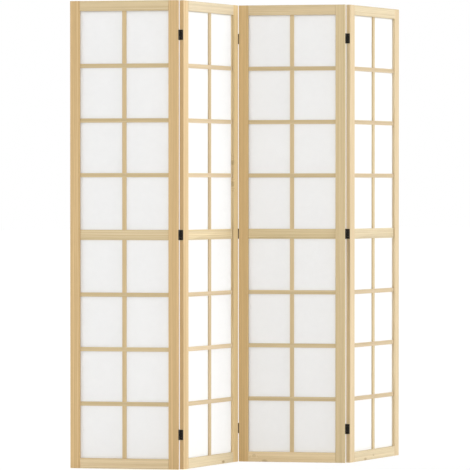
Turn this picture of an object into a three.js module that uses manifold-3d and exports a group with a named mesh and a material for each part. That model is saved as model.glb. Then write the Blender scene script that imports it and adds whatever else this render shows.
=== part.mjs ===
// A four-panel folding screen: pine frames, a half-lapped lattice in each, and a white sheet behind it.
//
// Millimetres, +Z up. The screen stands in its zigzag with the mean line of its panels along X and
// its front, the lattice side, towards -Y. The origin is the middle of its footprint on the floor.
//
// Each panel is drawn in its own frame and then turned into the zigzag: x runs from the panel's left
// end to its right end, y from its front face to its back face, and z up from the floor.

import * as THREE from 'three';
import { mergeVertices } from 'three/addons/utils/BufferGeometryUtils.js';
import Module from 'manifold-3d';

const wasm = await Module();
wasm.setup();

// ---- driving dimensions ----

const PANEL_COUNT = 4;
const PANEL_WIDTH = 400;
const PANEL_HEIGHT = 1700;
const FOLD_ANGLE = 110; // degrees between neighbouring panels as the screen stands

const STILE_WIDTH = 36;
const END_RAIL_HEIGHT = 37; // top and bottom rails
const MIDDLE_RAIL_HEIGHT = 37;
const FRAME_DEPTH = 17;
const FRAME_CHAMFER = 0.9;
const GROOVE_DEPTH = 9; // of the groove round the opening that holds the edge of the sheet
const END_TENON_LENGTH = 12; // tenons of the end rails in the stiles
const END_TENON_DEPTH = 6;
const END_TENON_SHOULDER = 6; // from the tenon to the end of the stile
const FIT_GAP = 0.25; // between pieces of a panel that seat in one another

const PANE_COLUMNS = 2;
const PANE_ROWS = 4; // above the middle rail, and again below it
const BAR_WIDTH = 15;
const LATTICE_SETBACK = 4.5; // behind the front face of the frame
const LATTICE_DEPTH = 5.5;
const LATTICE_CHAMFER = 0.6;
const BAR_TENON_LENGTH = 8; // tenons of the strips in the frame
const BAR_TENON_DEPTH = 3.5;
const BAR_TENON_SHOULDER = 3; // on each side of the tenon
const TONGUE_WIDTH = 8; // tongue of an upright in the edge of the middle rail
const TONGUE_DEPTH = 2;
const TONGUE_LENGTH = 5;

const SHEET_THICKNESS = 0.5;

const HINGE_HEIGHT = 37;
const HINGE_END_DISTANCE = 125; // from an end of the stile to the middle of the nearest hinge
const LEAF_THICKNESS = 0.9;
const LEAF_MARGIN = 2; // from the leaf's free edge to the far face of the stile
const LEAF_CORNER_RADIUS = 1.5;
const LEAF_CLOSED_GAP = 0.4; // between the two leaves when the panels stand in line
const GAIN_DEPTH = 0.8; // recess in the stile's edge that the leaf is let into
const GAIN_GAP = 0.2; // round the leaf and under it
const KNUCKLE_COUNT = 3;
const KNUCKLE_RADIUS = 1.5;
const KNUCKLE_PLAY = 0.2; // between neighbouring knuckles
const KNUCKLE_CLEARANCE = 0.2; // from a barrel to the wood, and to the notch in the other leaf
const PIN_RADIUS = 0.8;
const PIN_PLAY = 0.1;
const PIN_HEAD_RADIUS = 1.3;
const PIN_HEAD_HEIGHT = 0.6;
const SCREW_COUNT = 2; // on each leaf
const SCREW_SPACING = 21;
const SCREW_HOLE_RADIUS = 1.5;
const COUNTERSINK_RADIUS = 2.7;
const COUNTERSINK_DEPTH = 0.7;

const KNUCKLE_SEGMENTS = 12;
const HOLE_SEGMENTS = 10;
const CORNER_SEGMENTS = 2;
const CUT_MARGIN = 5; // how far a cutter runs out of the wood it cuts

// ---- worked-out sizes ----

const latticeBack = LATTICE_SETBACK + LATTICE_DEPTH;
const latticeMiddle = LATTICE_SETBACK + LATTICE_DEPTH / 2;
const sheetFront = latticeBack + FIT_GAP;
const sheetBack = sheetFront + SHEET_THICKNESS;
const sheetReach = GROOVE_DEPTH - FIT_GAP; // how far the sheet runs into the groove

const openingLeft = STILE_WIDTH;
const openingRight = PANEL_WIDTH - STILE_WIDTH;
const openingBottom = END_RAIL_HEIGHT;
const openingTop = PANEL_HEIGHT - END_RAIL_HEIGHT;
const middleRailBottom = (PANEL_HEIGHT - MIDDLE_RAIL_HEIGHT) / 2;
const middleRailTop = middleRailBottom + MIDDLE_RAIL_HEIGHT;

// The centre lines of the lattice strips divide a span of the opening into equal parts.
const dividers = (from, to, parts) => {
  const part = (to - from) / parts;
  return Array.from({ length: parts - 1 }, (_, i) => from + (i + 1) * part);
};
const uprightCentres = dividers(openingLeft, openingRight, PANE_COLUMNS);
const upperBarCentres = dividers(middleRailTop, openingTop, PANE_ROWS);
const lowerBarCentres = dividers(openingBottom, middleRailBottom, PANE_ROWS);

// Place of the hinge axis: beyond the stile's edge face, and beyond the face that the barrel is on.
// The barrel lies as close as the chamfer of the stile's arris lets it.
const leafOuterFace = LEAF_THICKNESS + GAIN_GAP - GAIN_DEPTH;
const axisBeyondEdge = leafOuterFace + LEAF_CLOSED_GAP / 2;
const axisBeyondFace = Math.SQRT2 * (KNUCKLE_RADIUS + KNUCKLE_CLEARANCE) - FRAME_CHAMFER - axisBeyondEdge;
const hingeHeights = {
  bottom: HINGE_END_DISTANCE,
  middle: PANEL_HEIGHT / 2,
  top: PANEL_HEIGHT - HINGE_END_DISTANCE,
};

// ---- materials ----

const finished = (finish) => new THREE.MeshStandardMaterial(finish);
const pine = () => finished({ color: 0xdcc294, roughness: 0.6, metalness: 0 });
const whiteSheet = () => finished({ color: 0xf6f5f1, roughness: 0.85, metalness: 0 });
const blackedSteel = () => finished({ color: 0x1f1c18, roughness: 0.45, metalness: 0.6 });

// ---- joining and cutting ----

function solidFrom(geometry) {
  geometry.deleteAttribute('normal');
  geometry.deleteAttribute('uv');
  const merged = mergeVertices(geometry);
  return new wasm.Manifold(new wasm.Mesh({
    numProp: 3,
    vertProperties: new Float32Array(merged.attributes.position.array),
    triVerts: new Uint32Array(merged.index.array),
  }));
}

function geometryFrom(solid) {
  const { vertProperties, triVerts } = solid.getMesh();
  const geometry = new THREE.BufferGeometry();
  geometry.setAttribute('position', new THREE.BufferAttribute(vertProperties, 3));
  geometry.setIndex(new THREE.BufferAttribute(triVerts, 1));
  geometry.computeVertexNormals();
  return geometry;
}

function boxSolid(xRange, yRange, zRange) {
  const box = new THREE.BoxGeometry(xRange[1] - xRange[0], yRange[1] - yRange[0], zRange[1] - zRange[0]);
  box.translate((xRange[0] + xRange[1]) / 2, (yRange[0] + yRange[1]) / 2, (zRange[0] + zRange[1]) / 2);
  return solidFrom(box);
}

// ---- profiles ----

const outline = (points) => new THREE.Shape(points.map(([x, y]) => new THREE.Vector2(x, y)));

// An outline drawn in x and y, run up from z = bottom to z = top.
function runAlongZ(shape, bottom, top) {
  const geometry = new THREE.ExtrudeGeometry(shape, { depth: top - bottom, bevelEnabled: false });
  geometry.translate(0, 0, bottom);
  return geometry;
}

// An outline drawn in y and z, run from x = left to x = right.
function runAlongX(shape, left, right) {
  const geometry = new THREE.ExtrudeGeometry(shape, {
    depth: right - left, bevelEnabled: false, curveSegments: CORNER_SEGMENTS,
  });
  const drawnToPlace = new THREE.Matrix4().makeBasis(
    new THREE.Vector3(0, 1, 0), new THREE.Vector3(0, 0, 1), new THREE.Vector3(1, 0, 0));
  geometry.applyMatrix4(drawnToPlace);
  geometry.translate(left, 0, 0);
  return geometry;
}

// Section of a frame member: its width is measured from the outer edge to the grooved inner edge,
// and its depth from the front face. All four long arrises are chamfered.
function frameSection(width) {
  const c = FRAME_CHAMFER;
  const grooveFront = sheetFront - FIT_GAP;
  const grooveBack = sheetBack + FIT_GAP;
  return [
    [0, c], [c, 0], [width - c, 0], [width, c],
    [width, grooveFront], [width - GROOVE_DEPTH, grooveFront],
    [width - GROOVE_DEPTH, grooveBack], [width, grooveBack],
    [width, FRAME_DEPTH - c], [width - c, FRAME_DEPTH], [c, FRAME_DEPTH], [0, FRAME_DEPTH - c],
  ];
}

// Section of a lattice strip: width across the strip, then depth, with its two front arrises chamfered.
function stripSection(start, width) {
  const c = LATTICE_CHAMFER;
  return [
    [start, LATTICE_SETBACK + c], [start + c, LATTICE_SETBACK],
    [start + width - c, LATTICE_SETBACK], [start + width, LATTICE_SETBACK + c],
    [start + width, latticeBack], [start, latticeBack],
  ];
}

const swapped = (points) => points.map(([x, y]) => [y, x]);

// ---- tenons ----

const around = (middle, size) => [middle - size / 2, middle + size / 2];
const widened = ([low, high], gap) => [low - gap, high + gap];

// A piece's tenons at both of its ends, as one bar right through it, or with a gap the room for them.
const tenonBar = ({ x, y, z }, gap) => boxSolid(widened(x, gap), widened(y, gap), widened(z, gap));

// Tenons in the stiles, for a lattice bar or the middle rail.
const stripTenon = (centreZ, width) => ({
  x: widened([openingLeft, openingRight], BAR_TENON_LENGTH),
  y: around(latticeMiddle, BAR_TENON_DEPTH),
  z: around(centreZ, width - 2 * BAR_TENON_SHOULDER),
});

const middleRailTenon = stripTenon(PANEL_HEIGHT / 2, MIDDLE_RAIL_HEIGHT);

const endRailTenon = (isTop) => {
  const fromEnd = [END_TENON_SHOULDER, END_RAIL_HEIGHT - GROOVE_DEPTH];
  return {
    x: widened([openingLeft, openingRight], END_TENON_LENGTH),
    y: around(FRAME_DEPTH / 2, END_TENON_DEPTH),
    z: isTop ? fromEnd.map((height) => PANEL_HEIGHT - height).reverse() : fromEnd,
  };
};

// The tenon of an upright in the top or bottom rail, on the side of its own half of the lattice.
const uprightTenon = (centreX, isUpper) => ({
  x: around(centreX, BAR_WIDTH - 2 * BAR_TENON_SHOULDER),
  y: around(latticeMiddle, BAR_TENON_DEPTH),
  z: isUpper ? [openingTop - BAR_WIDTH, openingTop + BAR_TENON_LENGTH]
    : [openingBottom - BAR_TENON_LENGTH, openingBottom + BAR_WIDTH],
});

// The thin tongue of an upright in the edge of the middle rail.
const uprightTongue = (centreX, isUpper) => ({
  x: around(centreX, TONGUE_WIDTH),
  y: around(latticeMiddle, TONGUE_DEPTH),
  z: isUpper ? [middleRailTop - TONGUE_LENGTH, middleRailTop + BAR_WIDTH]
    : [middleRailBottom - BAR_WIDTH, middleRailBottom + TONGUE_LENGTH],
});

// ---- pieces of a panel ----

// The recess for one hinge leaf in the edge of a stile.
// end is 'left' or 'right', and side the face, 'front' or 'back', that the barrel stands proud of.
function leafGain(end, side, height) {
  const fromEdge = [-CUT_MARGIN, GAIN_DEPTH];
  const edgeX = end === 'left' ? fromEdge : fromEdge.map((x) => PANEL_WIDTH - x).reverse();
  const margin = LEAF_MARGIN - GAIN_GAP;
  const edgeY = side === 'back' ? [margin, FRAME_DEPTH + CUT_MARGIN] : [-CUT_MARGIN, FRAME_DEPTH - margin];
  const halfHeight = HINGE_HEIGHT / 2 + GAIN_GAP;
  return boxSolid(edgeX, edgeY, [height - halfHeight, height + halfHeight]);
}

function stile(end, hingeSide) {
  const section = frameSection(STILE_WIDTH);
  const placed = end === 'left' ? section : section.map(([x, y]) => [PANEL_WIDTH - x, y]);
  let solid = solidFrom(runAlongZ(outline(placed), 0, PANEL_HEIGHT));
  const barTenons = [...lowerBarCentres, ...upperBarCentres].map((z) => stripTenon(z, BAR_WIDTH));
  for (const tenon of [endRailTenon(false), endRailTenon(true), middleRailTenon, ...barTenons]) {
    solid = solid.subtract(tenonBar(tenon, FIT_GAP));
  }
  if (hingeSide) {
    for (const height of Object.values(hingeHeights)) {
      solid = solid.subtract(leafGain(end, hingeSide, height));
    }
  }
  return geometryFrom(solid);
}

// The top or bottom rail: grooved on its inner edge, with mortises there for the uprights.
function endRail(isTop) {
  const section = frameSection(END_RAIL_HEIGHT);
  const placed = isTop ? section.map(([z, y]) => [PANEL_HEIGHT - z, y]) : section;
  let solid = solidFrom(runAlongX(outline(swapped(placed)), openingLeft + FIT_GAP, openingRight - FIT_GAP));
  solid = solid.add(tenonBar(endRailTenon(isTop), 0));
  for (const x of uprightCentres) {
    solid = solid.subtract(tenonBar(uprightTenon(x, isTop), FIT_GAP));
  }
  return geometryFrom(solid);
}

// The middle rail lies in the plane of the lattice.
function middleRail() {
  const section = stripSection(middleRailBottom, MIDDLE_RAIL_HEIGHT);
  let solid = solidFrom(runAlongX(outline(swapped(section)), openingLeft + FIT_GAP, openingRight - FIT_GAP));
  solid = solid.add(tenonBar(middleRailTenon, 0));
  for (const x of uprightCentres) {
    solid = solid.subtract(tenonBar(uprightTongue(x, false), FIT_GAP));
    solid = solid.subtract(tenonBar(uprightTongue(x, true), FIT_GAP));
  }
  return geometryFrom(solid);
}

// One half of the lattice, glued up from half-lapped strips: uprights from the end rail to the
// middle rail, and bars from stile to stile.
function lattice(isUpper) {
  const [bottom, top] = isUpper ? [middleRailTop, openingTop] : [openingBottom, middleRailBottom];
  const strips = [];
  for (const x of uprightCentres) {
    const section = stripSection(x - BAR_WIDTH / 2, BAR_WIDTH);
    strips.push(solidFrom(runAlongZ(outline(section), bottom + FIT_GAP, top - FIT_GAP)));
    strips.push(tenonBar(uprightTenon(x, isUpper), 0));
    strips.push(tenonBar(uprightTongue(x, isUpper), 0));
  }
  for (const z of isUpper ? upperBarCentres : lowerBarCentres) {
    const section = swapped(stripSection(z - BAR_WIDTH / 2, BAR_WIDTH));
    strips.push(solidFrom(runAlongX(outline(section), openingLeft + FIT_GAP, openingRight - FIT_GAP)));
    strips.push(tenonBar(stripTenon(z, BAR_WIDTH), 0));
  }
  return geometryFrom(strips.reduce((joined, strip) => joined.add(strip)));
}

// One sheet covers the panel from groove to groove, behind the lattice and the middle rail.
function sheet() {
  return geometryFrom(boxSolid(
    widened([openingLeft, openingRight], sheetReach),
    [sheetFront, sheetBack],
    widened([openingBottom, openingTop], sheetReach)));
}

// ---- hinges ----

// A hinge is drawn with its axis on z and its middle at z = 0. The leaf is drawn for the right end
// of a panel with the barrel behind it: the stile's edge face is at x = -axisBeyondEdge and its back
// face at y = -axisBeyondFace.

const knucklePitch = (HINGE_HEIGHT + KNUCKLE_PLAY) / KNUCKLE_COUNT;

function barrelSolid(radius, bottom, top) {
  const barrel = new THREE.CylinderGeometry(radius, radius, top - bottom, KNUCKLE_SEGMENTS);
  barrel.rotateX(Math.PI / 2);
  barrel.translate(0, 0, (bottom + top) / 2);
  return solidFrom(barrel);
}

function leafPlate() {
  const freeEdge = LEAF_MARGIN - FRAME_DEPTH - axisBeyondFace;
  const half = HINGE_HEIGHT / 2;
  const r = LEAF_CORNER_RADIUS;
  const shape = new THREE.Shape();
  shape.moveTo(0, -half);
  shape.lineTo(0, half);
  shape.lineTo(freeEdge + r, half);
  shape.absarc(freeEdge + r, half - r, r, Math.PI / 2, Math.PI, false);
  shape.absarc(freeEdge + r, r - half, r, Math.PI, 1.5 * Math.PI, false);
  const outerFace = -LEAF_CLOSED_GAP / 2;
  return solidFrom(runAlongX(shape, outerFace - LEAF_THICKNESS, outerFace));
}

// A countersunk hole through the plate, wide at the face that turns away from the wood.
function screwHole(y, z) {
  const outerFace = -LEAF_CLOSED_GAP / 2;
  const coneStart = outerFace - COUNTERSINK_DEPTH;
  const profile = [
    [0, coneStart - CUT_MARGIN], [SCREW_HOLE_RADIUS, coneStart - CUT_MARGIN],
    [SCREW_HOLE_RADIUS, coneStart], [COUNTERSINK_RADIUS, outerFace],
    [COUNTERSINK_RADIUS, outerFace + CUT_MARGIN], [0, outerFace + CUT_MARGIN],
  ].map(([radius, along]) => new THREE.Vector2(radius, along));
  const cutter = new THREE.LatheGeometry(profile, HOLE_SEGMENTS);
  cutter.rotateZ(-Math.PI / 2);
  cutter.translate(0, y, z);
  return solidFrom(cutter);
}

// A leaf with the knuckles whose row number, counted from the bottom, has the given parity.
function leaf(parity) {
  let solid = leafPlate();
  for (let row = 0; row < KNUCKLE_COUNT; row += 1) {
    const bottom = -HINGE_HEIGHT / 2 + row * knucklePitch;
    const top = bottom + knucklePitch - KNUCKLE_PLAY;
    if (row % 2 === parity) {
      solid = solid.add(barrelSolid(KNUCKLE_RADIUS, bottom, top));
    } else {
      const notchRadius = KNUCKLE_RADIUS / Math.cos(Math.PI / KNUCKLE_SEGMENTS) + KNUCKLE_CLEARANCE;
      solid = solid.subtract(barrelSolid(notchRadius, bottom - KNUCKLE_PLAY, top + KNUCKLE_PLAY));
    }
  }
  const boreRadius = (PIN_RADIUS + PIN_PLAY) / Math.cos(Math.PI / KNUCKLE_SEGMENTS);
  solid = solid.subtract(barrelSolid(boreRadius, -HINGE_HEIGHT, HINGE_HEIGHT));
  const screwY = -axisBeyondFace - (FRAME_DEPTH - LEAF_MARGIN) / 2;
  for (let i = 0; i < SCREW_COUNT; i += 1) {
    solid = solid.subtract(screwHole(screwY, (i - (SCREW_COUNT - 1) / 2) * SCREW_SPACING));
  }
  return geometryFrom(solid);
}

// The pin is headed over at both ends.
function hingePin() {
  const shank = HINGE_HEIGHT / 2 + PIN_PLAY;
  const tip = shank + PIN_HEAD_HEIGHT;
  const dome = PIN_HEAD_RADIUS - PIN_HEAD_HEIGHT / 2;
  const profile = [
    [0, -tip], [dome, -tip], [PIN_HEAD_RADIUS, -shank - PIN_HEAD_HEIGHT / 2], [PIN_HEAD_RADIUS, -shank],
    [PIN_RADIUS, -shank], [PIN_RADIUS, shank],
    [PIN_HEAD_RADIUS, shank], [PIN_HEAD_RADIUS, shank + PIN_HEAD_HEIGHT / 2], [dome, tip], [0, tip],
  ].map(([radius, along]) => new THREE.Vector2(radius, along));
  const pin = new THREE.LatheGeometry(profile, KNUCKLE_SEGMENTS);
  pin.rotateX(Math.PI / 2);
  return geometryFrom(solidFrom(pin));
}

// ---- the screen ----

function addPiece(group, name, geometry, material) {
  const mesh = new THREE.Mesh(geometry, material);
  mesh.name = name;
  group.add(mesh);
  return mesh;
}

// Where the axis of a hinge line lies in a panel's own frame.
function axisInPanel(end, side) {
  const x = end === 'left' ? -axisBeyondEdge : PANEL_WIDTH + axisBeyondEdge;
  const y = side === 'front' ? -axisBeyondFace : FRAME_DEPTH + axisBeyondFace;
  return new THREE.Vector3(x, y, 0);
}

// Barrels are behind the screen where the fold points to the front, and in front where it points back.
const hingeSideAfter = (panelNumber) => (panelNumber % 2 === 1 ? 'back' : 'front');

function addLeaf(group, hingeName, panelNumber, end, side, height) {
  const geometry = leaf(end === 'right' ? 0 : 1);
  const mesh = addPiece(group, `${hingeName}_leaf_${panelNumber}`, geometry, blackedSteel());
  mesh.position.copy(axisInPanel(end, side)).setZ(height);
  if (end === 'left' && side === 'back') {
    mesh.rotation.y = Math.PI;
  } else if (end === 'right' && side === 'front') {
    mesh.rotation.x = Math.PI;
  } else if (end === 'left' && side === 'front') {
    mesh.rotation.z = Math.PI;
  }
}

function makePanel(number) {
  const group = new THREE.Group();
  const leftSide = number > 1 ? hingeSideAfter(number - 1) : null;
  const rightSide = number < PANEL_COUNT ? hingeSideAfter(number) : null;
  addPiece(group, `panel_${number}_left_stile`, stile('left', leftSide), pine());
  addPiece(group, `panel_${number}_right_stile`, stile('right', rightSide), pine());
  addPiece(group, `panel_${number}_top_rail`, endRail(true), pine());
  addPiece(group, `panel_${number}_middle_rail`, middleRail(), pine());
  addPiece(group, `panel_${number}_bottom_rail`, endRail(false), pine());
  addPiece(group, `panel_${number}_upper_lattice`, lattice(true), pine());
  addPiece(group, `panel_${number}_lower_lattice`, lattice(false), pine());
  addPiece(group, `panel_${number}_sheet`, sheet(), whiteSheet());
  for (const [place, height] of Object.entries(hingeHeights)) {
    if (leftSide) {
      addLeaf(group, `hinge_${number - 1}_${number}_${place}`, number, 'left', leftSide, height);
    }
    if (rightSide) {
      const hingeName = `hinge_${number}_${number + 1}_${place}`;
      addLeaf(group, hingeName, number, 'right', rightSide, height);
      const pin = addPiece(group, `${hingeName}_pin`, hingePin(), blackedSteel());
      pin.position.copy(axisInPanel('right', rightSide)).setZ(height);
    }
  }
  return group;
}

const screen = new THREE.Group();
const foldTurn = THREE.MathUtils.degToRad(180 - FOLD_ANGLE);
const up = new THREE.Vector3(0, 0, 1);
const nextAxis = new THREE.Vector3();

for (let number = 1; number <= PANEL_COUNT; number += 1) {
  const panel = makePanel(number);
  const turn = (number % 2 === 1 ? -foldTurn : foldTurn) / 2;
  panel.rotation.z = turn;
  if (number > 1) {
    const ownAxis = axisInPanel('left', hingeSideAfter(number - 1)).applyAxisAngle(up, turn);
    panel.position.copy(nextAxis).sub(ownAxis);
  }
  nextAxis.copy(axisInPanel('right', hingeSideAfter(number))).applyAxisAngle(up, turn).add(panel.position);
  screen.add(panel);
}

const footprint = new THREE.Box3().setFromObject(screen, true).getCenter(new THREE.Vector3());
screen.position.set(-footprint.x, -footprint.y, 0);

export default screen;
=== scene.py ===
"""A four-panel folding screen of pine with a white sheet behind its lattice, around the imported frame.

Everything is in metres. A panel's own coordinates are x from its left end, y back from its front
face, and z up from the floor; panel_matrix turns them into the screen's zigzag.
"""

import math
import random

import bmesh
import bpy
from mathutils import Euler, Matrix, Vector, noise


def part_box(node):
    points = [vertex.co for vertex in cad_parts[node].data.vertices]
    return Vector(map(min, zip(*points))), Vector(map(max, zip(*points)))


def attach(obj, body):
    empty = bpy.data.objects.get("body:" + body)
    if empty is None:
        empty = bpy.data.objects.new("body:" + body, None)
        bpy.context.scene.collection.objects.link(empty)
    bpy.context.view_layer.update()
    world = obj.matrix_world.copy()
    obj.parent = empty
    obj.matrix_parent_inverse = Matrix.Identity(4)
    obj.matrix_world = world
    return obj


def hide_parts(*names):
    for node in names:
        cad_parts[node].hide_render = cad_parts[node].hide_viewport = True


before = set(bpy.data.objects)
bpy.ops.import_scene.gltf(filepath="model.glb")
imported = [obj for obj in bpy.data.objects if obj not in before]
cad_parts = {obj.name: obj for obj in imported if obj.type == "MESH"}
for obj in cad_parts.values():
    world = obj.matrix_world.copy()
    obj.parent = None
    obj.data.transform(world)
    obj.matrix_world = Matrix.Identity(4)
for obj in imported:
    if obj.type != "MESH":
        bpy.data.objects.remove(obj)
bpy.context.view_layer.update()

# ---- sizes, the same as the frame's ----

PANEL_COUNT = 4
PANEL_TURN = math.radians(35)
PANEL_WIDTH = 0.400
PANEL_HEIGHT = 1.700
STILE_WIDTH = 0.036
RAIL_HEIGHT = 0.037
GROOVE_REACH = 0.00875
LATTICE_FRONT = 0.0045
FIT_GAP = 0.00025
BAR_WIDTH = 0.015
LATTICE_DEPTH = 0.0055
SHEET_THICKNESS = 0.0005
PANE_ROWS = 4

LATTICE_BACK = LATTICE_FRONT + LATTICE_DEPTH
SHEET_FRONT = LATTICE_BACK + FIT_GAP
SHEET_MIDDLE = SHEET_FRONT + SHEET_THICKNESS / 2
OPENING_LEFT = STILE_WIDTH
OPENING_RIGHT = PANEL_WIDTH - STILE_WIDTH
OPENING_BOTTOM = RAIL_HEIGHT
OPENING_TOP = PANEL_HEIGHT - RAIL_HEIGHT
MIDDLE_RAIL_BOTTOM = (PANEL_HEIGHT - RAIL_HEIGHT) / 2
MIDDLE_RAIL_TOP = MIDDLE_RAIL_BOTTOM + RAIL_HEIGHT

PANELS = range(1, PANEL_COUNT + 1)


def panel_turn(number):
    return PANEL_TURN if number % 2 == 0 else -PANEL_TURN


def panel_matrix(number):
    """From a panel's own coordinates to the screen's, placed by the middle of the panel's sheet."""
    low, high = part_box(f"panel_{number}_sheet")
    turned = Matrix.Rotation(panel_turn(number), 4, "Z")
    middle = Vector((PANEL_WIDTH / 2, SHEET_MIDDLE, PANEL_HEIGHT / 2))
    return Matrix.Translation((low + high) / 2 - turned @ middle) @ turned


# ---- camera and light ----

CAMERA_PLACE = (-5.2524, -10.9712, 1.0266)
CAMERA_YAW = math.radians(25.305)  # to the right of +Y
CAMERA_PITCH = math.radians(-0.848)
CAMERA_LENS = 251.96  # mm on a 36 mm sensor
SENSOR_WIDTH = 36
CAMERA_REACH = 200  # farther than the floor's far edge

WORLD_LIGHT = 0.512
SOFT_ANGLE = math.radians(50)
LAMPS = {  # strength, degrees to the right of the front, degrees above the floor
    "key": (2.86, 60, 3),
    "fill": (0.70, -30, 30),
    "side": (0.63, -90, 3),
    "back": (1.99, -162, 30),
}


def add_camera():
    data = bpy.data.cameras.new("camera")
    data.lens = CAMERA_LENS
    data.sensor_width = SENSOR_WIDTH
    data.clip_end = CAMERA_REACH
    camera = bpy.data.objects.new("camera", data)
    camera.location = CAMERA_PLACE
    camera.rotation_euler = (math.pi / 2 + CAMERA_PITCH, 0, -CAMERA_YAW)
    bpy.context.scene.collection.objects.link(camera)
    bpy.context.scene.camera = camera


def add_sun(name, strength, azimuth, elevation):
    """A soft lamp that shines from an azimuth right of the front and an elevation above the floor."""
    data = bpy.data.lights.new(name, "SUN")
    data.energy = strength
    data.angle = SOFT_ANGLE
    lamp = bpy.data.objects.new(name, data)
    lamp.rotation_euler = Euler((math.radians(90 - elevation), 0, math.radians(azimuth)), "XYZ")
    bpy.context.scene.collection.objects.link(lamp)


def combine(tree, operation, a, b):
    """A math node on two sockets, held between 0 and 1."""
    node = tree.nodes.new("ShaderNodeMath")
    node.operation = operation
    node.use_clamp = True
    tree.links.new(a, node.inputs[0])
    tree.links.new(b, node.inputs[1])
    return node.outputs[0]


def seen_directly(tree):
    """1 for rays from the camera, or by way of metal or glass; 0 for rays that light the scene.

    What comes through the sheets is such light too, so a diffuse ray counts as 0.
    """
    path = tree.nodes.new("ShaderNodeLightPath").outputs
    seen = path["Is Camera Ray"]
    for output in ("Is Glossy Ray", "Is Transmission Ray"):
        seen = combine(tree, "MAXIMUM", seen, path[output])
    return combine(tree, "SUBTRACT", seen, path["Is Diffuse Ray"])


def set_world():
    world = bpy.data.worlds.new("studio")
    world.use_nodes = True
    tree = world.node_tree
    tree.nodes.clear()
    lighting = tree.nodes.new("ShaderNodeBackground")
    lighting.inputs["Strength"].default_value = WORLD_LIGHT
    backdrop = tree.nodes.new("ShaderNodeBackground")
    for background in (lighting, backdrop):
        background.inputs["Color"].default_value = (1, 1, 1, 1)
    mix = tree.nodes.new("ShaderNodeMixShader")
    output = tree.nodes.new("ShaderNodeOutputWorld")
    tree.links.new(seen_directly(tree), mix.inputs[0])
    tree.links.new(lighting.outputs[0], mix.inputs[1])
    tree.links.new(backdrop.outputs[0], mix.inputs[2])
    tree.links.new(mix.outputs[0], output.inputs[0])
    bpy.context.scene.world = world


FLOOR_SIZE = 120
FLOOR_ALBEDO = 0.9
FLOOR_GLOW = 0.87  # what the camera sees of the floor apart from the light on it
FLOOR_SHADE = 0.16  # how much of the light on it, and so of the shadow, the camera sees


def add_floor():
    bpy.ops.mesh.primitive_plane_add(size=FLOOR_SIZE)
    floor = bpy.context.object
    floor.name = "floor"
    material = bpy.data.materials.new("floor")
    material.use_nodes = True
    tree = material.node_tree
    tree.nodes.clear()
    lit = tree.nodes.new("ShaderNodeBsdfDiffuse")
    lit.inputs["Color"].default_value = (FLOOR_ALBEDO, FLOOR_ALBEDO, FLOOR_ALBEDO, 1)
    shown = tree.nodes.new("ShaderNodeBsdfDiffuse")
    shown.inputs["Color"].default_value = (FLOOR_SHADE, FLOOR_SHADE, FLOOR_SHADE, 1)
    glow = tree.nodes.new("ShaderNodeEmission")
    glow.inputs["Color"].default_value = (1, 1, 1, 1)
    glow.inputs["Strength"].default_value = FLOOR_GLOW
    added = tree.nodes.new("ShaderNodeAddShader")
    mix = tree.nodes.new("ShaderNodeMixShader")
    output = tree.nodes.new("ShaderNodeOutputMaterial")
    tree.links.new(shown.outputs[0], added.inputs[0])
    tree.links.new(glow.outputs[0], added.inputs[1])
    tree.links.new(seen_directly(tree), mix.inputs[0])
    tree.links.new(lit.outputs[0], mix.inputs[1])
    tree.links.new(added.outputs[0], mix.inputs[2])
    tree.links.new(mix.outputs[0], output.inputs[0])
    floor.data.materials.append(material)


# ---- node helpers ----

def scaled(color, factor):
    return tuple(factor * part for part in color)


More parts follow.
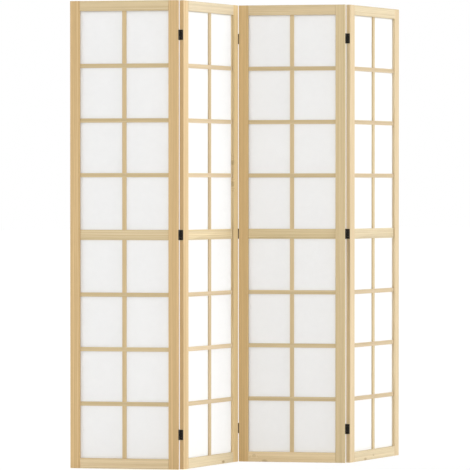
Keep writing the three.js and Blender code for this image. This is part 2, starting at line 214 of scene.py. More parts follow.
class Nodes:
    """Short calls for building a material's node tree."""

    def __init__(self, name):
        self.material = bpy.data.materials.new(name)
        self.material.use_nodes = True
        self.tree = self.material.node_tree
        self.shader = self.tree.nodes["Principled BSDF"]

    def put(self, socket, value):
        if isinstance(value, bpy.types.NodeSocket):
            self.tree.links.new(value, socket)
        else:
            socket.default_value = value

    def math(self, operation, a, b=0.0):
        node = self.tree.nodes.new("ShaderNodeMath")
        node.operation = operation
        self.put(node.inputs[0], a)
        self.put(node.inputs[1], b)
        return node.outputs[0]

    def add(self, a, b):
        return self.math("ADD", a, b)

    def subtract(self, a, b):
        return self.math("SUBTRACT", a, b)

    def multiply(self, a, b):
        return self.math("MULTIPLY", a, b)

    def length(self, a, b):
        """How long the vector (a, b) is."""
        return self.math("SQRT", self.add(self.multiply(a, a), self.multiply(b, b)))

    def vector(self, x, y, z):
        node = self.tree.nodes.new("ShaderNodeCombineXYZ")
        for socket, value in zip(node.inputs, (x, y, z)):
            self.put(socket, value)
        return node.outputs[0]

    def split(self, vector):
        node = self.tree.nodes.new("ShaderNodeSeparateXYZ")
        self.put(node.inputs[0], vector)
        return node.outputs

    def own_place(self):
        """Where a point is in the coordinates that the object's mesh is drawn in."""
        return self.tree.nodes.new("ShaderNodeTexCoord").outputs["Object"]

    def grain_place(self, across, depth, along, squeeze):
        """A place for noise that is drawn out along the grain by squeezing it across."""
        return self.vector(self.multiply(across, squeeze), self.multiply(depth, squeeze), along)

    def noise(self, vector, scale=1.0, detail=2.0, rough=0.5, distortion=0.0):
        node = self.tree.nodes.new("ShaderNodeTexNoise")
        self.put(node.inputs["Vector"], vector)
        node.inputs["Scale"].default_value = scale
        node.inputs["Detail"].default_value = detail
        node.inputs["Roughness"].default_value = rough
        node.inputs["Distortion"].default_value = distortion
        return node.outputs["Fac"]

    def ramp(self, value, stops):
        node = self.tree.nodes.new("ShaderNodeValToRGB")
        elements = node.color_ramp.elements
        while len(elements) < len(stops):
            elements.new(0.5)
        for element, (place, color) in zip(elements, stops):
            element.position = place
            element.color = (*color, 1)
        self.put(node.inputs[0], value)
        return node.outputs[0]

    def span(self, value, low, high, to_low=0.0, to_high=1.0, smooth=False):
        node = self.tree.nodes.new("ShaderNodeMapRange")
        node.interpolation_type = "SMOOTHSTEP" if smooth else "LINEAR"
        self.put(node.inputs["Value"], value)
        limits = {"From Min": low, "From Max": high, "To Min": to_low, "To Max": to_high}
        for name, number in limits.items():
            self.put(node.inputs[name], number)
        return node.outputs[0]

    def mix(self, factor, a, b, blend="MIX"):
        node = self.tree.nodes.new("ShaderNodeMix")
        node.data_type = "RGBA"
        node.blend_type = blend
        self.put(node.inputs[0], factor)
        for socket, value in ((node.inputs[6], a), (node.inputs[7], b)):
            self.put(socket, value if isinstance(value, bpy.types.NodeSocket) else (*value, 1))
        return node.outputs[2]

    def bump(self, height, distance):
        node = self.tree.nodes.new("ShaderNodeBump")
        node.inputs["Strength"].default_value = 1.0
        node.inputs["Distance"].default_value = distance
        self.put(node.inputs["Height"], height)
        self.tree.links.new(node.outputs[0], self.shader.inputs["Normal"])


# ---- pine ----

EARLYWOOD = (0.700, 0.510, 0.268)
MIDWOOD = (0.640, 0.448, 0.218)
LATEWOOD = (0.520, 0.325, 0.135)
KNOT_BROWN = (0.270, 0.160, 0.055)

# The growth rings lie round a pith beside and behind the board, at a place of its own for each board.
PITH_ASIDE = (0.02, 0.09)
PITH_BEHIND = (0.03, 0.08)
PITH_PLAY = 0.01
RING_PITCH = 0.0042
RING_STOPS = [(0.0, EARLYWOOD), (0.5, MIDWOOD), (0.86, LATEWOOD), (0.97, MIDWOOD), (1.0, EARLYWOOD)]
RING_CONTRAST = 0.52
CROWDING = 3.0  # how many rings further on they may be where they crowd
CROWDING_SCALE = 60
WAVER = 0.010  # how far a ring wanders across a board along its length
WAVER_SCALE = 1.6
WAVER_SQUEEZE = 9.0
NOISE_SHIFT = 3  # how far a board's noise is moved at most, either way
PANEL_SHIFT = 0.37  # and how much further with each panel

FIBRE_SQUEEZE = 1400
FIBRE_RUN = 14
FIBRE_STOPS = [(0.3, (0.90, 0.90, 0.90)), (0.7, (1.06, 1.06, 1.06))]
STREAK_SQUEEZE = 130
STREAK_STOPS = [(0.3, (0.90, 0.88, 0.84)), (0.7, (1.08, 1.09, 1.12))]
BOARD_PLAY = 0.015  # how much paler or darker a board may be than its tint says

PINE_ROUGHNESS = (0.62, 0.48)  # in the dark and in the pale fibres
PINE_SPECULAR = 0.35
GRAIN_DEPTH = 0.00012
FIBRE_RELIEF = 0.6
RING_RELIEF = 0.4

KNOT_ROUNDNESS = 0.5  # its width over its length along the grain
KNOT_EDGE = (0.3, 1.3)  # where it starts to fade and where it ends, in sizes from its heart
KNOT_REACH = 3.5  # how far off the rings still bend round it, in the same unit
KNOT_RINGS = 3.0  # by how many rings they bend
KNOTS = {  # small knots: (along, across, size, darkness) in the panel's coordinates
    "panel_2_bottom_rail": [(0.2884, 0.0070, 0.0060, 0.75)],
    "panel_2_right_stile": [(1.1147, 0.3640, 0.0045, 0.42), (1.0352, 0.3640, 0.0048, 0.36)],
    "panel_3_bottom_rail": [(0.0980, 0.0035, 0.0060, 0.40), (0.0579, 0.0249, 0.0040, 0.28)],
    "panel_4_bottom_rail": [(0.1233, 0.0045, 0.0065, 0.50), (0.1886, 0.0158, 0.0035, 0.35)],
}

# Tints multiply the wood's colour. The lattice is of less yellow wood than the stiles, and the rails are
# paler too.
# The second and fourth panels, frame and lattice, are paler still. That is painted light: the washed-out
# look their brighter light gives them. Some boards get a tint of their own. Among these, the third panel's
# left stile carries painted shade from the valley fold beside it. The bottom rails of the first and third
# panels are made lighter, partly for their own tone and partly as painted light against the shade near the
# floor.
STILE_TINT = (1.0, 1.0, 1.0)
RAIL_TINT = (1.02, 1.16, 1.40)
# for the second and fourth panels these also hold painted light: paler, as their brighter light makes them
# look
BAR_TONE_AND_PAINTED_LIGHT = {  # of each panel
    1: (0.95, 1.065, 1.23),
    2: (1.03, 1.17, 1.53),
    3: (0.96, 1.085, 1.27),
    4: (0.90, 1.01, 1.29),
}
# for the second and fourth panels these also hold painted light: paler, as their brighter light makes them
# look
UPRIGHT_TONE_AND_PAINTED_LIGHT = {
    1: (0.965, 1.04, 1.16),
    2: (0.95, 1.065, 1.33),
    3: (1.02, 1.13, 1.32),
    4: (0.97, 1.10, 1.34),
}
# painted light: the second and fourth panels, which face the brighter light, are painted paler
PANEL_PAINTED_LIGHT_TINTS = {
    1: (1.0, 1.0, 1.0),
    2: (1.02, 1.07, 1.18),
    3: (1.0, 1.0, 1.0),
    4: (1.02, 1.07, 1.18),
}
# A tint for some boards, with painted light and shade on some of them, as marked below
BOARD_TONE_AND_PAINTED_LIGHT = {
    # lighter, partly for its tone and partly as painted light against the shade near the floor
    "panel_1_bottom_rail": (1.13, 1.13, 1.18),
    "panel_2_right_stile": (1.10, 1.14, 1.13),
    "panel_2_top_rail": (1.03, 1.04, 1.09),
    "panel_2_middle_rail": (1.07, 1.05, 1.0),
    # painted shade: darker and warmer, as in the valley fold beside the second panel
    "panel_3_left_stile": (0.98, 0.98, 0.93),
    "panel_3_right_stile": (1.02, 1.16, 1.38),
    "panel_3_top_rail": (1.04, 1.04, 1.06),
    "panel_3_middle_rail": (1.01, 1.02, 1.0),
    # lighter, partly for its tone and partly as painted light against the shade near the floor
    "panel_3_bottom_rail": (1.17, 1.17, 1.21),
    "panel_4_left_stile": (1.02, 1.10, 1.26),
    "panel_4_right_stile": (1.02, 1.10, 1.26),
}


def tint_of(name, number, kind_tint):
    parts = (kind_tint, PANEL_PAINTED_LIGHT_TINTS[number], BOARD_TONE_AND_PAINTED_LIGHT.get(name, (1, 1, 1)))
    return [math.prod(channel) for channel in zip(*parts)]


def own_coordinates(nodes, number, in_place):
    """A panel's own coordinates, for a mesh already drawn in them or for one drawn in the screen's."""
    place = nodes.own_place()
    if in_place:
        return place
    back = panel_matrix(number).inverted()
    mapping = nodes.tree.nodes.new("ShaderNodeMapping")
    mapping.inputs["Location"].default_value = back.to_translation()
    mapping.inputs["Rotation"].default_value = back.to_euler()
    nodes.put(mapping.inputs["Vector"], place)
    return mapping.outputs[0]


def ring_phase(nodes, along, across, depth, pith_aside, pith_behind, shifts):
    """How many rings lie between the pith and each point.

    The shifts move the noise of the wander along the board and as a whole, and that of the crowding.
    """
    slow = nodes.grain_place(across, depth, nodes.add(along, shifts[0]), WAVER_SQUEEZE)
    slow = nodes.vector(*[nodes.add(part, shifts[1]) for part in nodes.split(slow)])
    wander = nodes.span(nodes.noise(slow, scale=WAVER_SCALE, detail=3), 0, 1, -WAVER, WAVER)
    aside = nodes.add(nodes.add(across, wander), pith_aside)
    radius = nodes.length(aside, nodes.add(depth, pith_behind))
    uneven = nodes.noise(nodes.vector(nodes.multiply(radius, CROWDING_SCALE), shifts[2], 0), detail=1)
    return nodes.add(nodes.math("DIVIDE", radius, RING_PITCH), nodes.multiply(uneven, CROWDING))


def knot_distance(nodes, along, across, knot_along, knot_across, size):
    """How far each point is from a knot's heart, in sizes of the knot."""
    ahead = nodes.multiply(nodes.subtract(along, knot_along), KNOT_ROUNDNESS / size)
    aside = nodes.math("DIVIDE", nodes.subtract(across, knot_across), size)
    return nodes.length(ahead, aside)


def pine(name, number, upright, seed, tint, in_place=False, knots=()):
    """Pine for one board of a panel, with its grain along z if it is upright, or else along x."""
    rng = random.Random(seed)
    nodes = Nodes(name)
    x, depth, z = nodes.split(own_coordinates(nodes, number, in_place))
    along, across = (z, x) if upright else (x, z)
    shifts = [rng.uniform(-NOISE_SHIFT, NOISE_SHIFT) for _ in range(3)]
    pith_aside = rng.choice((-1, 1)) * rng.uniform(*PITH_ASIDE)
    pith_behind = rng.uniform(*PITH_BEHIND)
    pith_aside += rng.uniform(-PITH_PLAY, PITH_PLAY)
    if not upright:
        pith_aside -= PANEL_HEIGHT / 2
    ring_shifts = (shifts[0], number * PANEL_SHIFT + shifts[1], shifts[2])
    phase = ring_phase(nodes, along, across, depth, pith_aside, pith_behind, ring_shifts)

    knot_masks = []
    for knot_along, knot_across, size, darkness in knots:
        distance = knot_distance(nodes, along, across, knot_along, knot_across, size)
        phase = nodes.add(phase, nodes.span(distance, 0, KNOT_REACH, KNOT_RINGS, 0.0, smooth=True))
        knot_masks.append(nodes.span(distance, *KNOT_EDGE, darkness, 0.0, smooth=True))

    ring = nodes.math("FRACT", phase)
    base = nodes.mix(RING_CONTRAST, MIDWOOD, nodes.ramp(ring, RING_STOPS))
    fibre_place = nodes.grain_place(across, depth, nodes.multiply(along, FIBRE_RUN), FIBRE_SQUEEZE)
    fibre = nodes.noise(fibre_place, detail=3, rough=0.65)
    streak_place = nodes.grain_place(across, depth, nodes.add(along, shifts[1]), STREAK_SQUEEZE)
    streak = nodes.noise(streak_place, detail=2)
    own_tint = scaled(tint, rng.uniform(1 - BOARD_PLAY, 1 + BOARD_PLAY))
    for layer in (nodes.ramp(fibre, FIBRE_STOPS), nodes.ramp(streak, STREAK_STOPS), own_tint):
        base = nodes.mix(1.0, base, layer, "MULTIPLY")
    for knot_mask in knot_masks:
        base = nodes.mix(knot_mask, base, KNOT_BROWN)

    nodes.put(nodes.shader.inputs["Base Color"], base)
    nodes.put(nodes.shader.inputs["Roughness"], nodes.span(fibre, 0.2, 0.8, *PINE_ROUGHNESS))
    nodes.shader.inputs["Specular IOR Level"].default_value = PINE_SPECULAR
    relief = nodes.add(nodes.multiply(fibre, FIBRE_RELIEF), nodes.multiply(ring, RING_RELIEF))
    nodes.bump(relief, GRAIN_DEPTH)
    return nodes.material


# ---- the other materials ----

SHEET_WHITE = (0.930, 0.930, 0.928)
CLOUD_SHADE = 0.985  # of the white, in the faint clouds
THREAD_SHADE = 1.03  # of the white, on the long fibres
THREAD_SHARE = 0.35  # how much of that shows
THREAD_LINE = 0.012  # half the breadth of a fibre, as a share of the noise's range
SHEET_RELIEF = 0.00006
SHEET_TRANSLUCENCE = 0.5  # of the light that meets one face of the sheet


def sheet_material():
    """White non-woven paper with faint clouds and long fibres."""
    nodes = Nodes("white_sheet")
    place = nodes.own_place()
    cloud = nodes.noise(place, scale=55, detail=4, rough=0.6)
    thread = nodes.noise(place, scale=75, detail=1, distortion=4.0)
    off_thread = nodes.math("ABSOLUTE", nodes.subtract(thread, 0.5))
    on_thread = nodes.span(off_thread, 0.0, THREAD_LINE, 1.0, 0.0)
    shade = nodes.ramp(cloud, [(0.3, scaled(SHEET_WHITE, CLOUD_SHADE)), (0.7, SHEET_WHITE)])
    color = nodes.mix(nodes.multiply(on_thread, THREAD_SHARE), shade, scaled(SHEET_WHITE, THREAD_SHADE))
    nodes.put(nodes.shader.inputs["Base Color"], color)
    nodes.shader.inputs["Roughness"].default_value = 0.8
    nodes.shader.inputs["Specular IOR Level"].default_value = 0.2
    nodes.bump(nodes.add(cloud, on_thread), SHEET_RELIEF)
    let_through = nodes.tree.nodes.new("ShaderNodeBsdfTranslucent")
    nodes.put(let_through.inputs["Color"], shade)
    mix = nodes.tree.nodes.new("ShaderNodeMixShader")
    mix.inputs[0].default_value = SHEET_TRANSLUCENCE
    nodes.put(mix.inputs[1], nodes.shader.outputs[0])
    nodes.put(mix.inputs[2], let_through.outputs[0])
    nodes.put(nodes.tree.nodes["Material Output"].inputs["Surface"], mix.outputs[0])
    return nodes.material


BLACK_STOPS = [(0.35, (0.020, 0.017, 0.013)), (0.75, (0.045, 0.037, 0.028))]
LEAF_ROUGHNESS = 0.42
PIN_ROUGHNESS = 0.34
COAT_GLOSSIER = 0.06  # how far its roughness falls and rises over the coat
COAT_DULLER = 0.08
COAT_RELIEF = 0.00002


def black_metal(name, roughness):
    """Black lacquered steel with a slightly uneven coat."""
    nodes = Nodes(name)
    place = nodes.own_place()
    coat = nodes.noise(place, scale=420, detail=3)
    wear = nodes.noise(place, scale=90, detail=5, rough=0.7)
    nodes.put(nodes.shader.inputs["Base Color"], nodes.ramp(wear, BLACK_STOPS))
    nodes.shader.inputs["Metallic"].default_value = 0.4
    uneven = nodes.span(coat, 0.2, 0.8, roughness - COAT_GLOSSIER, roughness + COAT_DULLER)
    nodes.put(nodes.shader.inputs["Roughness"], uneven)
    nodes.bump(coat, COAT_RELIEF)
    return nodes.material


# ---- pieces of the frame that stay ----

SOFT_ARRIS = 0.0003
SHARP_TURN = math.radians(25)  # edges that turn by less are left as they are
WELD_REACH = 1e-6
FRAME_BOARDS = (  # name, seed within its panel, whether it is upright, and the tint of its kind
    ("left_stile", 0, True, STILE_TINT),
    ("right_stile", 1, True, STILE_TINT),
    ("top_rail", 3, False, RAIL_TINT),
    ("middle_rail", 4, False, RAIL_TINT),
    ("bottom_rail", 5, False, RAIL_TINT),
)


def dress_cad_node(name, material):
    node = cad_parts[name]
    node.data.materials.clear()
    node.data.materials.append(material)
    weld = node.modifiers.new("weld", "WELD")
    weld.merge_threshold = WELD_REACH
    bevel = node.modifiers.new("soft_arris", "BEVEL")
    bevel.width = SOFT_ARRIS
    bevel.segments = 2
    bevel.limit_method = "ANGLE"
    bevel.angle_limit = SHARP_TURN


def dress_frames():
    for number in PANELS:
        for board, seed, upright, kind_tint in FRAME_BOARDS:
            name = f"panel_{number}_{board}"
            tint = tint_of(name, number, kind_tint)
            wood = pine(name, number, upright, 10 * number + seed, tint, knots=KNOTS.get(name, ()))
            dress_cad_node(name, wood)


# ---- new pieces ----

def new_object(name, mesh, body, matrix):
    piece = bpy.data.objects.new(name, mesh)
    piece.matrix_world = matrix
    bpy.context.scene.collection.objects.link(piece)
    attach(piece, body)
    return piece


def mesh_from(name, bm):
    bmesh.ops.recalc_face_normals(bm, faces=bm.faces)
    mesh = bpy.data.meshes.new(name)
    bm.to_mesh(mesh)
    bm.free()
    return mesh


def close_prism(bm, near, far):
    """Faces on two rings of vertices, and between them all round; gives back the faces between."""
    bm.faces.new(near)
    bm.faces.new(far)
    count = len(near)
    band = []
    for i in range(count):
        j = (i + 1) % count
        band.append(bm.faces.new((near[i], near[j], far[j], far[i])))
    return band


def shade_smooth(mesh, sharp_degrees):
    """Smooth shading, broken at edges that turn by sharp_degrees or more."""
    mesh.polygons.foreach_set("use_smooth", [True] * len(mesh.polygons))
    mesh.set_sharp_from_angle(angle=math.radians(sharp_degrees))


# ---- lattice ----

LAP_GAP = 0.00005
STRIP_ARRIS = 0.0006
TOUCH = 1e-7  # nearer than this, two places are the same
SHORTEST_EDGE = 1e-5
LATTICE_MIDDLE = (LATTICE_FRONT + LATTICE_BACK) / 2
TENON = (0.008, 0.0035, 0.009)  # length, depth and width, into a stile or an end rail
TONGUE = (0.005, 0.002, 0.008)  # the same, into the edge of the middle rail


def add_tenon(bm, end_face, at, end, outward, sizes):
    """Grows a tenon out of a strip's end face; outward is 1 or -1 along the strip."""
    length, depth, width = sizes
    shoulder = bmesh.ops.extrude_discrete_faces(bm, faces=[end_face])["faces"][0]
    for vertex in shoulder.verts:
        y = LATTICE_MIDDLE + math.copysign(depth / 2, vertex.co.y - LATTICE_MIDDLE)
        sides = [Vector(at(end, y, across)) for across in (-width / 2, width / 2)]
        vertex.co = min(sides, key=lambda side: (side - vertex.co).length)
    tip = bmesh.ops.extrude_discrete_faces(bm, faces=[shoulder])["faces"][0]
    reach = Vector(at(outward * length, 0, 0)) - Vector(at(0, 0, 0))
    for vertex in tip.verts:
        vertex.co += reach


def strip_mesh(name, start, end, centre, crossings, upright, tenons):
    """A lattice strip from start to end along its length, with a half lap at each crossing.

    It is drawn as its side view, length by depth, swept across its width. An upright is lapped in
    its front and a bar in its back. The tenons grow out of the strip's ends, and then the long front
    arrises are rounded.
    """
    near, far = (LATTICE_FRONT, LATTICE_BACK) if upright else (LATTICE_BACK, LATTICE_FRONT)
    half_lap = BAR_WIDTH / 2 + LAP_GAP
    floor = LATTICE_MIDDLE + (LAP_GAP if upright else -LAP_GAP)
    side = [(start, far), (end, far), (end, near)]
    for crossing in sorted(crossings, reverse=True):
        side += [(crossing + half_lap, near), (crossing + half_lap, floor),
                 (crossing - half_lap, floor), (crossing - half_lap, near)]
    side.append((start, near))

    def at(length, depth, across):
        return (centre + across, depth, length) if upright else (length, depth, centre + across)

    bm = bmesh.new()
    near_ring, far_ring = ([bm.verts.new(at(length, depth, across)) for length, depth in side]
                           for across in (-BAR_WIDTH / 2, BAR_WIDTH / 2))
    edge_faces = close_prism(bm, near_ring, far_ring)
    add_tenon(bm, edge_faces[-1], at, start, -1, tenons[0])
    add_tenon(bm, edge_faces[1], at, end, 1, tenons[1])
    length_axis = 2 if upright else 0

    def is_long_front_arris(edge):
        first, second = (vertex.co for vertex in edge.verts)
        in_front = all(abs(place.y - LATTICE_FRONT) < TOUCH for place in (first, second))
        return in_front and abs(first[length_axis] - second[length_axis]) > SHORTEST_EDGE

    arrises = [edge for edge in bm.edges if is_long_front_arris(edge)]
    bmesh.ops.bevel(bm, geom=arrises, offset=STRIP_ARRIS, segments=2, profile=0.5, affect="EDGES")
    return mesh_from(name, bm)


def add_strip(name, number, mesh, seed, upright, lattice):
    strip = new_object(name, mesh, f"panel_{number}", panel_matrix(number))
    tint = (UPRIGHT_TONE_AND_PAINTED_LIGHT if upright else BAR_TONE_AND_PAINTED_LIGHT)[number]
    strip.data.materials.append(pine(name, number, upright, seed, tint, in_place=True))
    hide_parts(lattice)


def add_lattices():
    """Each half of a panel's lattice: an upright lapped behind three bars."""
    centre = PANEL_WIDTH / 2
    halves = (
        ("lower", OPENING_BOTTOM, MIDDLE_RAIL_BOTTOM, (TENON, TONGUE)),
        ("upper", MIDDLE_RAIL_TOP, OPENING_TOP, (TONGUE, TENON)),
    )
    for number in PANELS:
        for half, (half_name, low, high, tenons) in enumerate(halves):
            bars = [low + row * (high - low) / PANE_ROWS for row in range(1, PANE_ROWS)]
            lattice = f"panel_{number}_{half_name}_lattice"
            seed = 100 * number + 10 * half
            name = f"panel_{number}_{half_name}_upright"
            mesh = strip_mesh(name, low + LAP_GAP, high - LAP_GAP, centre, bars, True, tenons)
            add_strip(name, number, mesh, seed, True, lattice)
            for row, height in enumerate(bars):
                name = f"panel_{number}_{half_name}_bar_{row + 1}"
                mesh = strip_mesh(name, OPENING_LEFT + LAP_GAP, OPENING_RIGHT - LAP_GAP, height, [centre],
                                  False, (TENON, TENON))
                add_strip(name, number, mesh, seed + row + 1, False, lattice)


# ---- sheets ----

SHEET_COLUMNS = 28
SHEET_ROWS = 116
SHEET_SLACK = 0.00018
SLACK_STARTS = 0.03  # from the sheet's edge, where the groove holds it
WAVE_ACROSS = 14  # how fast the slack comes and goes, and how far apart the sheets are in its noise
WAVE_ALONG = 9
SHEET_APART = 5.1


def sheet_mesh(number):
    left, right = OPENING_LEFT - GROOVE_REACH, OPENING_RIGHT + GROOVE_REACH
    bottom, top = OPENING_BOTTOM - GROOVE_REACH, OPENING_TOP + GROOVE_REACH
    bm = bmesh.new()
    bmesh.ops.create_grid(bm, x_segments=SHEET_COLUMNS, y_segments=SHEET_ROWS, size=1)
    for vertex in bm.verts:
        x = left + (vertex.co.x + 1) / 2 * (right - left)
        z = bottom + (vertex.co.y + 1) / 2 * (top - bottom)
        inside = min(x - left, right - x, z - bottom, top - z)
        ease = min(1, max(0, inside / SLACK_STARTS))
        wave = noise.noise(Vector((x * WAVE_ACROSS, number * SHEET_APART, z * WAVE_ALONG)))
        vertex.co = (x, SHEET_MIDDLE + ease * SHEET_SLACK * wave, z)
    for face in bm.faces:
        face.smooth = True
    return mesh_from(f"panel_{number}_paper", bm)


def add_sheets():
    material = sheet_material()
    for number in PANELS:
        panel = f"panel_{number}"
        paper = new_object(f"{panel}_paper", sheet_mesh(number), panel, panel_matrix(number))
        thick = paper.modifiers.new("thickness", "SOLIDIFY")
        thick.thickness = SHEET_THICKNESS
        thick.offset = 0
        paper.data.materials.append(material)
        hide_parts(f"panel_{number}_sheet")


# ---- hinges ----

# A hinge is drawn with its axis on z and its middle at the origin, and its leaf for the right end of a
# panel with the barrel behind it: the leaf's screwed plate lies at -x, its free edge towards -y.

HINGE_LINES = {(1, 2): "back", (2, 3): "front", (3, 4): "back"}  # the side that the barrels are on
HINGE_PLACES = ("bottom", "middle", "top")
HINGE_HALF = 0.0185
LEAF_FACES = (-0.0011, -0.0002)
LEAF_FREE_EDGE = -0.016004
LEAF_CORNER = 0.0015
MIDDLE_KNUCKLE_HALF = 0.0061
KNUCKLE_GAP = 0.0002
KNUCKLE_ROWS = (
    (-HINGE_HALF, -MIDDLE_KNUCKLE_HALF - KNUCKLE_GAP),
    (-MIDDLE_KNUCKLE_HALF, MIDDLE_KNUCKLE_HALF),
    (MIDDLE_KNUCKLE_HALF + KNUCKLE_GAP, HINGE_HALF),
)
KNUCKLE_RADIUS = 0.0015
KNUCKLE_ARRIS = 0.00012
NOTCH_RADIUS = 0.00175
NOTCH_PLAY = 0.0002
BORE_RADIUS = 0.0009
PIN_RADIUS = 0.0008
PIN_SHANK = 0.0186
HEAD_RADIUS = 0.0013
HEAD_HEIGHT = 0.0006
SCREW_ACROSS = -0.008504
SCREW_HEIGHTS = (-0.0105, 0.0105)
HOLE_RADIUS = 0.0015
COUNTERSINK_RADIUS = 0.0027
COUNTERSINK_DEPTH = 0.0007
CUT_PAST = 0.003  # how far a hole's cutter runs past the leaf
CORNER_STEP = 15  # degrees between the points of a leaf's rounded corners
FINE_TURN = 40  # segments of a round hinge part
CARVED_SHARP = 30  # degrees by which an edge turns to stay sharp, on a leaf or a screw and on a pin
PIN_SHARP = 40
HEAD_STRAIGHT = 0.45  # of a pin head's height, below its dome
DOME_TURNS = (25, 50, 72)  # degrees round the dome at which it is drawn


def turned(name, profile, axis="Z", segments=FINE_TURN):
    """A solid of revolution; profile is (radius, along) from one end of the axis to the other."""
    bm = bmesh.new()
    turns = [2 * math.pi * i / segments for i in range(segments)]
    rings = []
    for radius, along in profile:
        if radius == 0:
            rings.append([bm.verts.new((0, 0, along))])
        else:
            rings.append([bm.verts.new((radius * math.cos(turn), radius * math.sin(turn), along))
                          for turn in turns])
    for lower, upper in zip(rings, rings[1:]):
        for i in range(segments):
            j = (i + 1) % segments
            corners = [lower[i % len(lower)], lower[j % len(lower)]]
            corners += [upper[j % len(upper)], upper[i % len(upper)]]
            bm.faces.new(list(dict.fromkeys(corners)))
    if axis == "X":
        bmesh.ops.rotate(bm, verts=bm.verts, matrix=Matrix.Rotation(math.pi / 2, 3, "Y"))
    return mesh_from(name, bm)


def rod(name, radius, bottom, top, arris=0.0):
    """A round bar along z, with a chamfer of arris round both ends if that is more than 0."""
    side = [(radius, bottom), (radius, top)]
    if arris:
        side = [(radius - arris, bottom), (radius, bottom + arris),
                (radius, top - arris), (radius - arris, top)]
    return turned(name, [(0, bottom), *side, (0, top)])


def plate(name, outline, low, high):
    """A flat outline of (y, z) points, given a thickness from low to high in x."""
    bm = bmesh.new()
    near, far = ([bm.verts.new((x, y, z)) for y, z in outline] for x in (low, high))
    close_prism(bm, near, far)
    return mesh_from(name, bm)


def carved(name, body, steps):
    """The body mesh joined with or cut by each mesh of steps, (operation, mesh), in turn."""
    meshes = [body, *(mesh for _, mesh in steps)]
    scratch = [bpy.data.objects.new(f"scratch_{i}", mesh) for i, mesh in enumerate(meshes)]
    for item in scratch:
        bpy.context.scene.collection.objects.link(item)
    for item, (operation, _) in zip(scratch[1:], steps):
        change = scratch[0].modifiers.new(operation, "BOOLEAN")
        change.operation = operation
        change.solver = "MANIFOLD"
        change.object = item
    evaluated = scratch[0].evaluated_get(bpy.context.evaluated_depsgraph_get())
    result = bpy.data.meshes.new_from_object(evaluated)
    result.name = name
    for mesh in meshes:  # its scratch object goes with it
        bpy.data.meshes.remove(mesh)
    shade_smooth(result, CARVED_SHARP)
    return result


def leaf_mesh(name, own_rows):
    """A leaf with its knuckles on own_rows, a notch at each of the other rows, and two screw holes."""
    corners = [(0, -HINGE_HALF), (0, HINGE_HALF)]
    for side, start in ((1, 90), (-1, 180)):
        for step in range(0, 91, CORNER_STEP):
            turn = math.radians(start + step)
            corners.append((LEAF_FREE_EDGE + LEAF_CORNER + LEAF_CORNER * math.cos(turn),
                            side * (HINGE_HALF - LEAF_CORNER) + LEAF_CORNER * math.sin(turn)))
    face = LEAF_FACES[1]
    seat = face - COUNTERSINK_DEPTH
    hole_profile = [(0, seat - CUT_PAST), (HOLE_RADIUS, seat - CUT_PAST), (HOLE_RADIUS, seat),
                    (COUNTERSINK_RADIUS, face), (COUNTERSINK_RADIUS, face + CUT_PAST), (0, face + CUT_PAST)]
    steps = []
    for height in SCREW_HEIGHTS:
        hole = turned("hole", hole_profile, "X")
        hole.transform(Matrix.Translation((0, SCREW_ACROSS, height)))
        steps.append(("DIFFERENCE", hole))
    for row, (bottom, top) in enumerate(KNUCKLE_ROWS):
        if row in own_rows:
            steps.append(("UNION", rod("knuckle", KNUCKLE_RADIUS, bottom, top, KNUCKLE_ARRIS)))
        else:
            notch = rod("notch", NOTCH_RADIUS, bottom - NOTCH_PLAY, top + NOTCH_PLAY)
            steps.append(("DIFFERENCE", notch))
    steps.append(("DIFFERENCE", rod("bore", BORE_RADIUS, -2 * HINGE_HALF, 2 * HINGE_HALF)))
    return carved(name, plate("plate", corners, *LEAF_FACES), steps)


def pin_mesh():
    """A straight pin headed over at both ends."""
    half = [(PIN_RADIUS, PIN_SHANK), (HEAD_RADIUS, PIN_SHANK)]
    half.append((HEAD_RADIUS, PIN_SHANK + HEAD_STRAIGHT * HEAD_HEIGHT))
    for degrees in DOME_TURNS:
        turn = math.radians(degrees)
        height = HEAD_STRAIGHT + (1 - HEAD_STRAIGHT) * math.sin(turn)
        half.append((HEAD_RADIUS * math.cos(turn), PIN_SHANK + HEAD_HEIGHT * height))
    half.append((0, PIN_SHANK + HEAD_HEIGHT))
    mesh = turned("hinge_pin", [(radius, -along) for radius, along in reversed(half)] + half)
    shade_smooth(mesh, PIN_SHARP)
    return mesh


SCREW_LENGTH = 0.012
SCREW_TURN = 24  # segments
SCREW_HEAD_RADIUS = 0.0026
HEAD_CONE = 0.0018  # how far below its face the head has tapered to the shank
HEAD_RIM = 0.00012
RIM_ROUND = 0.0001
SHANK_RADIUS = 0.00095
SHANK_LENGTH = 0.004  # about how much is left plain below the head
TIP_RADIUS = 0.0002
TIP_LENGTH = 0.0004
THREAD_START = 0.002  # from the tip
THREAD_PITCH = 0.0011
THREAD_ROOT = 0.00085
THREAD_CREST = 0.0012
RECESS_DEPTH = 0.0011
RECESS_ARM = 0.0014
RECESS_WIDTH = 0.00045
ARM_TIP = 0.9  # half an arm's breadth at its tip, over RECESS_WIDTH
RECESS_SECTIONS = ((0.0002, 1.1), (-RECESS_DEPTH, 0.45))  # where along the screw, and how large
SCREW_SUNK = 0.00005  # how far a screw's face lies below the leaf's
SCREW_SEED = 7  # for how far each screw is turned


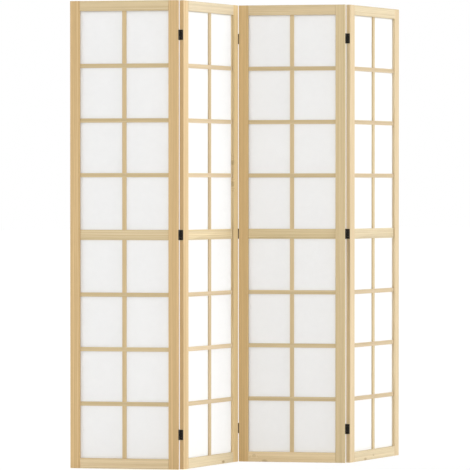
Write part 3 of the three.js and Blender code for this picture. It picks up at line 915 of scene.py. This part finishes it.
def screw_mesh():
    """A countersunk wood screw along x, its head's face at x = 0, with a cross recess."""
    profile = [(0, -SCREW_LENGTH), (TIP_RADIUS, TIP_LENGTH - SCREW_LENGTH)]
    along = THREAD_START - SCREW_LENGTH
    while along < -HEAD_CONE - SHANK_LENGTH:  # the thread, as rings
        profile += [(THREAD_ROOT, along), (THREAD_CREST, along + THREAD_PITCH / 2)]
        along += THREAD_PITCH
    profile += [(SHANK_RADIUS, along), (SHANK_RADIUS, -HEAD_CONE)]
    profile += [(SCREW_HEAD_RADIUS, -HEAD_RIM), (SCREW_HEAD_RADIUS - RIM_ROUND, 0), (0, 0)]
    body = turned("screw", profile, "X", SCREW_TURN)
    arm = [(RECESS_ARM, -ARM_TIP * RECESS_WIDTH), (RECESS_ARM, ARM_TIP * RECESS_WIDTH)]
    arm.append((RECESS_WIDTH, RECESS_WIDTH))
    cross = []
    for quarter in range(4):
        turn = Matrix.Rotation(quarter * math.pi / 2, 2)
        cross += [turn @ Vector(point) for point in arm]
    bm = bmesh.new()
    near, far = ([bm.verts.new((x, scale * y, scale * z)) for y, z in cross]
                 for x, scale in RECESS_SECTIONS)
    close_prism(bm, near, far)
    return carved("hinge_screw", body, [("DIFFERENCE", mesh_from("recess", bm))])


def hinge_matrix(name, number, end, side):
    """Where a leaf and its screws go: at the hinge's axis, turned for that end and side of the panel."""
    low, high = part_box(f"{name}_pin")
    flips = {
        ("right", "back"): Matrix.Identity(4),
        ("left", "back"): Matrix.Rotation(math.pi, 4, "Y"),
        ("right", "front"): Matrix.Rotation(math.pi, 4, "X"),
        ("left", "front"): Matrix.Rotation(math.pi, 4, "Z"),
    }
    turned_panel = Matrix.Rotation(panel_turn(number), 4, "Z")
    return Matrix.Translation((low + high) / 2) @ turned_panel @ flips[end, side]


def add_leaf(name, number, at_axis, mesh, screw, rng):
    """A hinge's leaf on a panel, and the two screws that hold it, each turned as it happened to end up."""
    body = f"panel_{number}"
    leaf = new_object(f"{name}_plate_{number}", mesh, body, at_axis)
    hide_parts(f"{name}_leaf_{number}")
    for which, height in enumerate(SCREW_HEIGHTS):
        driven = Matrix.Translation((LEAF_FACES[1] - SCREW_SUNK, SCREW_ACROSS, height))
        turn = Matrix.Rotation(rng.uniform(0, math.pi / 2), 4, "X")
        head = new_object(f"{name}_screw_{number}_{which + 1}", screw, body, at_axis @ driven @ turn)


def add_hinges():
    leaf_coat = black_metal("hinge_leaf", LEAF_ROUGHNESS)
    pin_coat = black_metal("hinge_pin", PIN_ROUGHNESS)
    leaves = {
        "right": leaf_mesh("leaf_of_two_knuckles", (0, 2)),
        "left": leaf_mesh("leaf_of_one_knuckle", (1,)),
    }
    pin = pin_mesh()
    screw = screw_mesh()
    coats = ((leaves["right"], leaf_coat), (leaves["left"], leaf_coat), (pin, pin_coat), (screw, pin_coat))
    for mesh, coat in coats:
        mesh.materials.clear()
        mesh.materials.append(coat)
    rng = random.Random(SCREW_SEED)
    for (first, second), side in HINGE_LINES.items():
        for place in HINGE_PLACES:
            name = f"hinge_{first}_{second}_{place}"
            for number, end in ((first, "right"), (second, "left")):
                add_leaf(name, number, hinge_matrix(name, number, end, side), leaves[end], screw, rng)
            at_axis = hinge_matrix(name, first, "right", side)
            spindle = new_object(f"{name}_spindle", pin, f"panel_{first}", at_axis)
            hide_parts(f"{name}_pin")


# ---- the scene ----

add_camera()
set_world()
for name, (strength, azimuth, elevation) in LAMPS.items():
    add_sun(name, strength, azimuth, elevation)
add_floor()
dress_frames()
add_lattices()
add_sheets()
add_hinges()
bpy.context.scene.view_settings.view_transform = "Standard"
